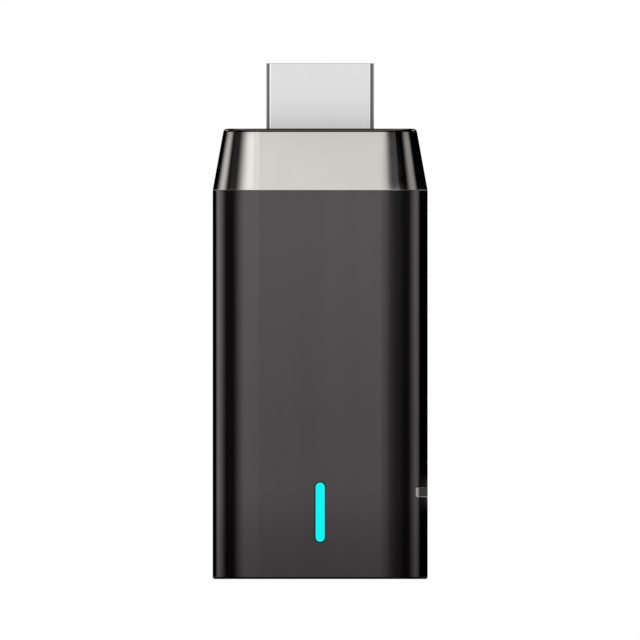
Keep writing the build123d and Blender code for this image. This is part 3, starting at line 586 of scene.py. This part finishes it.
# Shoulder cap and mode key
# The bright taper round the plug, and the small key in the right side. ABS, injection moulded,
# etched and plated with copper, nickel and a last bright layer: a pale warm mirror with a trace
# of moulding waviness, and a few hazy spots where the plating is thinner.
plate_wave = 2.0 * millimetre
thin_spot = 5.0 * millimetre
bright, tree, place = new_surface("bright_plated_abs")
spots = add(tree, "TexNoise", {"Vector": place, "Scale": 1 / thin_spot, "Detail": 2.0})
tone = add(tree, "ValToRGB", {"Fac": spots}, stops=((0.3, "#D1CDC9"), (0.7, "#D5D1CD")))
gloss = add(tree, "MapRange", {"Value": spots, "To Min": 0.032, "To Max": 0.055})
skin = add(tree, "TexNoise", {"Vector": place, "Scale": 1 / plate_wave, "Detail": 1.0})
relief = add(tree, "Bump", {"Height": skin, "Strength": 0.5, "Distance": 0.001 * millimetre})
shader = add(
    tree,
    "BsdfPrincipled",
    {"Base Color": tone, "Metallic": 1.0, "Roughness": gloss, "Normal": relief},
)
finish_surface(bright, shader, "shoulder_cap", "mode_key")

# Bottom cover
# The plate that closes the sleeve round the socket. Polycarbonate and ABS blend, injection
# moulded in a spark-eroded mould and clipped in: near black, with an even fine grain.
spark_size = 0.22 * millimetre
blend, tree, place = new_surface("spark_textured_plastic")
pits = add(tree, "TexNoise", {"Vector": place, "Scale": 1 / spark_size, "Detail": 4.0})
tone = add(tree, "ValToRGB", {"Fac": pits}, stops=((0.35, "#19191B"), (0.68, "#29292B")))
gloss = add(tree, "MapRange", {"Value": pits, "To Min": 0.46, "To Max": 0.62})
relief = add(tree, "Bump", {"Height": pits, "Strength": 0.6, "Distance": 0.012 * millimetre})
shader = add(
    tree,
    "BsdfPrincipled",
    {"Base Color": tone, "Roughness": gloss, "IOR": 1.55, "Normal": relief},
)
finish_surface(blend, shader, "bottom_cover")

# Floor
# A plain pale board that the stick stands on. It keeps the stick's shadow and fades into the white
# surroundings beyond it. Seen from below it is clear, and so is the part that the underside
# touches, so that the bottom end shows.
def studio_piece(name, shape):
    """A piece of the studio with the shape's mesh."""
    mesh = bpy.data.meshes.new(name)
    shape.to_mesh(mesh)
    shape.free()
    piece = bpy.data.objects.new(name, mesh)
    bpy.context.scene.collection.objects.link(piece)
    return piece


def looked_at(tree, ray):
    """1 where the camera, gloss or glass looks, and 0 where light only falls."""
    seen = ray.outputs["Is Camera Ray"]
    for kind in ("Is Glossy Ray", "Is Transmission Ray"):
        seen = add(tree, "Math", {0: seen, 1: ray.outputs[kind]}, operation="MAXIMUM")
    return seen


floor_size = 3.0
floor_drop = 0.1 * millimetre
touch = 0.6 * millimetre
floor_light = 0.62
shadow_reach = 80 * millimetre
fade_end = 300 * millimetre
shape = bmesh.new()
bmesh.ops.create_grid(shape, x_segments=1, y_segments=1, size=floor_size / 2)
bmesh.ops.translate(shape, verts=shape.verts, vec=(0.0, 0.0, -floor_drop))
floor = studio_piece("floor", shape)
floor.visible_glossy = False
board_white, tree, place = new_surface("pale_floor")
ray = add(tree, "LightPath", {})
seen = looked_at(tree, ray)
fill = add(tree, "Math", {0: seen, 1: floor_light}, operation="MULTIPLY")
matte = add(tree, "BsdfDiffuse", {"Color": linear("#E6E6E4")})
lift = add(tree, "Emission", {"Color": linear("#FFFFFF"), "Strength": fill})
surface = add(tree, "AddShader", {0: matte, 1: lift})
flat = add(tree, "VectorMath", {0: place, 1: (1.0, 1.0, 0.0)}, operation="MULTIPLY")
out = add(tree, "VectorMath", {0: flat}, operation="LENGTH").outputs["Value"]
far = add(tree, "MapRange", {"Value": out, "From Min": shadow_reach, "From Max": fade_end})
plain = add(tree, "Emission", {"Color": linear("#FFFFFF"), "Strength": seen})
surface = add(tree, "MixShader", {0: far, 1: surface, 2: plain})
near = add(tree, "Math", {0: ray.outputs["Ray Length"], 1: touch}, operation="LESS_THAN")
under = add(tree, "NewGeometry", {}).outputs["Backfacing"]
clear = add(tree, "Math", {0: near, 1: under}, operation="MAXIMUM")
surface = add(
    tree, "MixShader", {0: clear, 1: surface, 2: add(tree, "BsdfTransparent", {})}
)
finish_surface(board_white, surface)
floor.data.materials.append(board_white)

# Light tent
# A wide round tent of dim cloth with tall soft-edged lit panels, which the polished skin mirrors.
# Away from the stick's level it is bright in front and behind and dim at the sides. Below the
# floor it is what a polished floor would mirror of it.
tent_radius = 0.5
tent_height = 0.7
tent_foot = -0.7
degree = math.radians(1.0)
shoulder_tilt = math.radians(10.41)
shape = bmesh.new()
bmesh.ops.create_cone(
    shape,
    cap_ends=False,
    segments=256,
    radius1=tent_radius,
    radius2=tent_radius,
    depth=tent_height - tent_foot,
)
bmesh.ops.translate(
    shape, verts=shape.verts, vec=(0.0, 0.0, (tent_height + tent_foot) / 2)
)
tent = studio_piece("light_tent", shape)
tent.visible_camera = False
tent.visible_diffuse = False
tent.visible_shadow = False
cloth, tree, place = new_surface("lit_cloth")
spot = add(tree, "SeparateXYZ", {"Vector": place})
level = spot.outputs["Z"]
ahead = add(tree, "Math", {0: spot.outputs["Y"], 1: -1.0}, operation="MULTIPLY")
angle = add(tree, "Math", {0: spot.outputs["X"], 1: ahead}, operation="ARCTAN2")
aside = add(tree, "Math", {0: angle}, operation="ABSOLUTE")
# How high the shoulder's mirror line runs on the tent, and the height measured from it.
half_angle = add(tree, "Math", {0: angle, 1: 0.5}, operation="MULTIPLY")
climb = add(tree, "Math", {0: half_angle}, operation="COSINE")
climb = add(tree, "Math", {0: climb, 1: math.sin(2 * shoulder_tilt)}, operation="MULTIPLY")
climb = add(tree, "Math", {0: climb}, operation="ARCSINE")
climb = add(tree, "Math", {0: climb}, operation="TANGENT")
climb = add(tree, "Math", {0: climb, 1: tent_radius}, operation="MULTIPLY")
over_line = add(tree, "Math", {0: level, 1: climb}, operation="SUBTRACT")


def soft_panel(across, unit, edges, light=1.0):
    """The light of a panel that starts, is fully bright, stops being so and ends at four places."""
    start, full_from, full_to, end = [edge * unit for edge in edges]
    rise = add(
        tree,
        "MapRange",
        {"Value": across, "From Min": start, "From Max": full_from, "To Max": light},
        interpolation_type="SMOOTHSTEP",
    )
    fall = add(
        tree,
        "MapRange",
        {"Value": across, "From Min": full_to, "From Max": end, "To Min": 1.0, "To Max": 0.0},
        interpolation_type="SMOOTHSTEP",
    )
    return add(tree, "Math", {0: rise, 1: fall}, operation="MULTIPLY")


def lit_cloth_with(dim, panels):
    """The light of dim cloth and the panels on it, in degrees to the right of the camera."""
    light_round = dim
    for edges, light in panels:
        panel = soft_panel(angle, degree, edges, light)
        light_round = add(tree, "Math", {0: light_round, 1: panel})
    return light_round


# The places and strengths of the panels below follow the light bands that the photograph shows on
# the rounded sides, and several of these numbers were first measured there.

# Level with the sleeve: the dim cloth, then left rear, front, a dim strip beside it and right
# rear. The light grows a little upwards and is lower at the foot.
sleeve_round = lit_cloth_with(
    0.0,
    (
        ((-110, -100, 100, 116), 0.05),
        ((-138, -122, -118, -88), 1.12),
        ((-70, -34, -12, 42), 1.03),
        ((24, 34, 42, 60), 0.09),
        ((70, 96, 96, 114), 0.86),
    ),
)
grows = add(
    tree,
    "MapRange",
    {
        "Value": level,
        "From Min": 20 * millimetre,
        "From Max": 51 * millimetre,
        "To Min": 0.79,
        "To Max": 1.04,
    },
)
foot = add(
    tree,
    "MapRange",
    {"Value": level, "From Min": 4 * millimetre, "From Max": 11 * millimetre, "To Min": 0.68},
)
over_floor = add(
    tree, "MapRange", {"Value": level, "From Min": -3 * millimetre, "From Max": -1.6 * millimetre}
)
sleeve_light = add(tree, "Math", {0: sleeve_round, 1: grows}, operation="MULTIPLY")
sleeve_light = add(tree, "Math", {0: sleeve_light, 1: foot}, operation="MULTIPLY")
sleeve_light = add(tree, "Math", {0: sleeve_light, 1: over_floor}, operation="MULTIPLY")

# Level with the plug: two panels side by side in front, and grey cloth that is paler behind.
plug_round = lit_cloth_with(0.13, (((-50, -14, -7, 6), 1.25), ((-4, 7, 8, 32), 1.15)))
paler = add(
    tree,
    "MapRange",
    {"Value": aside, "From Min": 60 * degree, "From Max": 150 * degree, "To Max": 0.42},
)
plug_round = add(tree, "Math", {0: plug_round, 1: paler})
plug_foot = add(
    tree,
    "MapRange",
    {
        "Value": level,
        "From Min": 57.6 * millimetre,
        "From Max": 59.8 * millimetre,
        "To Min": 0.5,
        "To Max": 1.01,
    },
)
plug_light = add(tree, "Math", {0: plug_round, 1: plug_foot}, operation="MULTIPLY")

# Along the shoulder's line: left rear, then two panels side by side in front with a dim strip on
# each side of them, and right rear. A fold runs across them, and just over them the tent is dark.
shoulder_round = lit_cloth_with(
    0.0,
    (
        ((-134, -106, -106, -86), 0.74),
        ((-90, -78, -62, -50), 0.025),
        ((-66, -26, -20, 2), 1.3),
        ((-16, -2, 4, 32), 0.94),
        ((20, 30, 46, 50), 0.065),
        ((68, 86, 92, 106), 0.38),
    ),
)
fold = soft_panel(over_line, millimetre, (53.5, 55.3, 57, 58.8), 0.22)
unfolded = add(tree, "Math", {0: 1.0, 1: fold}, operation="SUBTRACT")
over_top = add(
    tree,
    "MapRange",
    {
        "Value": over_line,
        "From Min": 61 * millimetre,
        "From Max": 62.7 * millimetre,
        "To Min": 1.0,
        "To Max": 0.06,
    },
)
shoulder_light = add(tree, "Math", {0: shoulder_round, 1: unfolded}, operation="MULTIPLY")
shoulder_light = add(tree, "Math", {0: shoulder_light, 1: over_top}, operation="MULTIPLY")

# Everywhere else: bright in front and behind.
in_front = add(
    tree,
    "MapRange",
    {
        "Value": aside,
        "From Min": 35 * degree,
        "From Max": 66 * degree,
        "To Min": 0.97,
        "To Max": 0.22,
    },
    interpolation_type="SMOOTHSTEP",
)
at_back = add(
    tree,
    "MapRange",
    {"Value": aside, "From Min": 100 * degree, "From Max": 132 * degree, "To Max": 0.68},
    interpolation_type="SMOOTHSTEP",
)
softly = add(tree, "Math", {0: in_front, 1: at_back})

# The levels run into one another.
to_plug = add(
    tree, "MapRange", {"Value": level, "From Min": 51 * millimetre, "From Max": 54 * millimetre}
)
to_plain = add(
    tree, "MapRange", {"Value": level, "From Min": 69 * millimetre, "From Max": 73 * millimetre}
)
under = add(
    tree,
    "MapRange",
    {
        "Value": level,
        "From Min": -20 * millimetre,
        "From Max": -8 * millimetre,
        "To Min": 1.0,
        "To Max": 0.0,
    },
)
to_shoulder = add(
    tree,
    "MapRange",
    {"Value": over_line, "From Min": 42 * millimetre, "From Max": 45 * millimetre},
)
brightness = add(tree, "Mix", {0: to_plug, 2: sleeve_light, 3: plug_light})
brightness = add(tree, "Mix", {0: to_plain, 2: brightness, 3: softly})
brightness = add(tree, "Mix", {0: under, 2: brightness, 3: softly})
brightness = add(tree, "Mix", {0: to_shoulder, 2: brightness, 3: shoulder_light})

# Low down on the right and just behind, a dim patch as high as the key, which mirrors it.
off_level = add(tree, "Math", {0: level, 1: key_level}, operation="SUBTRACT")
patch = soft_panel(angle, degree, (106, 113, 160, 170), 0.066)
patch_rows = soft_panel(off_level, millimetre, (-2, -1, 1, 2))
patch = add(tree, "Math", {0: patch, 1: patch_rows}, operation="MULTIPLY")
brightness = add(tree, "Math", {0: brightness, 1: patch}, operation="MAXIMUM")

# Plain bright panels behind. A narrow one hangs straight behind and lights the back, one on each
# side of it lights the top from beside, and one high up lights it from above.
panel_light = 0.88
straight_behind = soft_panel(aside, degree, (169, 176, 181, 182))
beside = soft_panel(aside, degree, (134, 139, 147, 152), 0.5)
beside_rows = soft_panel(level, tent_height, (0.26, 0.3, 0.9, 1.0))
beside = add(tree, "Math", {0: beside, 1: beside_rows}, operation="MULTIPLY")
low_panels = add(tree, "Math", {0: straight_behind, 1: beside}, operation="MAXIMUM")
low_rows = soft_panel(level, tent_height, (-1.2, -1.1, 0.43, 0.49))
low_panels = add(tree, "Math", {0: low_panels, 1: low_rows}, operation="MULTIPLY")
high_panel = soft_panel(aside, degree, (145, 155, 181, 182), 0.6)
high_rows = soft_panel(level, tent_height, (0.6, 0.71, 1.1, 1.2))
high_panel = add(tree, "Math", {0: high_panel, 1: high_rows}, operation="MULTIPLY")
panel = add(tree, "Math", {0: low_panels, 1: high_panel}, operation="MAXIMUM")
brightness = add(tree, "Mix", {0: panel, 2: brightness, 3: panel_light})
finish_surface(cloth, add(tree, "Emission", {"Strength": brightness}))
tent.data.materials.append(cloth)

# The tent's ceiling: dim in front and straight above, black just behind, and then the high
# panel's upper end.
shape = bmesh.new()
bmesh.ops.create_circle(shape, cap_ends=True, segments=256, radius=tent_radius)
bmesh.ops.translate(shape, verts=shape.verts, vec=(0.0, 0.0, tent_height))
ceiling = studio_piece("tent_ceiling", shape)
ceiling.visible_camera = False
ceiling.visible_diffuse = False
ceiling.visible_shadow = False
grey, tree, place = new_surface("grey_cloth")
depth = add(tree, "SeparateXYZ", {"Vector": place}).outputs["Y"]
dim_part = soft_panel(depth, tent_radius, (-1.2, -1.1, 0.1, 0.16), 0.1)
panel_end = soft_panel(depth, tent_radius, (0.6, 0.76, 1.1, 1.2), 0.5)
overhead = add(tree, "Math", {0: dim_part, 1: panel_end})
finish_surface(grey, add(tree, "Emission", {"Strength": overhead}))
ceiling.data.materials.append(grey)

# A black card lies round the stick's foot, thin and soft-edged, and only the gloss shows it: it
# gives the rounded bottom edge the dark line that a stick has where it meets its support.
card_size = 60 * millimetre
card_height = -0.05 * millimetre
straight_across = 7.8 * millimetre
straight_deep = 0.5 * millimetre
outline_round = 6.0 * millimetre
card_hole = 5.0 * millimetre
card_edge = 14.0 * millimetre
shape = bmesh.new()
bmesh.ops.create_grid(shape, x_segments=1, y_segments=1, size=card_size / 2)
bmesh.ops.translate(shape, verts=shape.verts, vec=(0.0, 0.0, card_height))
card = studio_piece("foot_card", shape)
card.visible_camera = False
card.visible_diffuse = False
card.visible_transmission = False
card.visible_shadow = False
black_card, tree, place = new_surface("black_card")
corner = add(tree, "VectorMath", {0: place}, operation="ABSOLUTE")
corner = add(
    tree, "VectorMath", {0: corner, 1: (straight_across, straight_deep, 1.0)}, operation="SUBTRACT"
)
corner = add(tree, "VectorMath", {0: corner, 1: (0.0, 0.0, 0.0)}, operation="MAXIMUM")
reach = add(tree, "VectorMath", {0: corner}, operation="LENGTH").outputs["Value"]
beyond = add(
    tree,
    "MapRange",
    {"Value": reach, "From Min": outline_round, "From Max": card_edge},
)
within = add(tree, "Math", {0: reach, 1: card_hole}, operation="LESS_THAN")
clear = add(tree, "Math", {0: beyond, 1: within}, operation="MAXIMUM")
dark = add(tree, "Emission", {"Strength": 0.0})
surface = add(tree, "MixShader", {0: clear, 1: dark, 2: add(tree, "BsdfTransparent", {})})
finish_surface(black_card, surface)
card.data.materials.append(black_card)

# Lamp and surroundings
# One wide soft lamp under the ceiling lights the matte parts and the floor and stays out of the
# reflections. The surroundings are white where the camera, gloss or glass shows them.
lamp_width = 0.3
lamp_height = 0.28
lamp_watts = 0.4
open_light = 0.75
lamp_data = bpy.data.lights.new("soft_lamp", "AREA")
lamp_data.shape = "DISK"
lamp_data.size = lamp_width
lamp_data.energy = lamp_watts
lamp = bpy.data.objects.new("soft_lamp", lamp_data)
lamp.location = (0.0, 0.0, lamp_height)
lamp.visible_glossy = False
lamp.visible_camera = False
bpy.context.scene.collection.objects.link(lamp)
world = bpy.data.worlds.new("surroundings")
world.use_nodes = True
bpy.context.scene.world = world
tree = world.node_tree
tree.nodes.clear()
seen = looked_at(tree, add(tree, "LightPath", {}))
strength = add(tree, "MapRange", {"Value": seen, "To Min": open_light, "To Max": 1.0})
add(
    tree,
    "OutputWorld",
    {"Surface": add(tree, "Background", {"Color": linear("#FFFFFF"), "Strength": strength})},
)
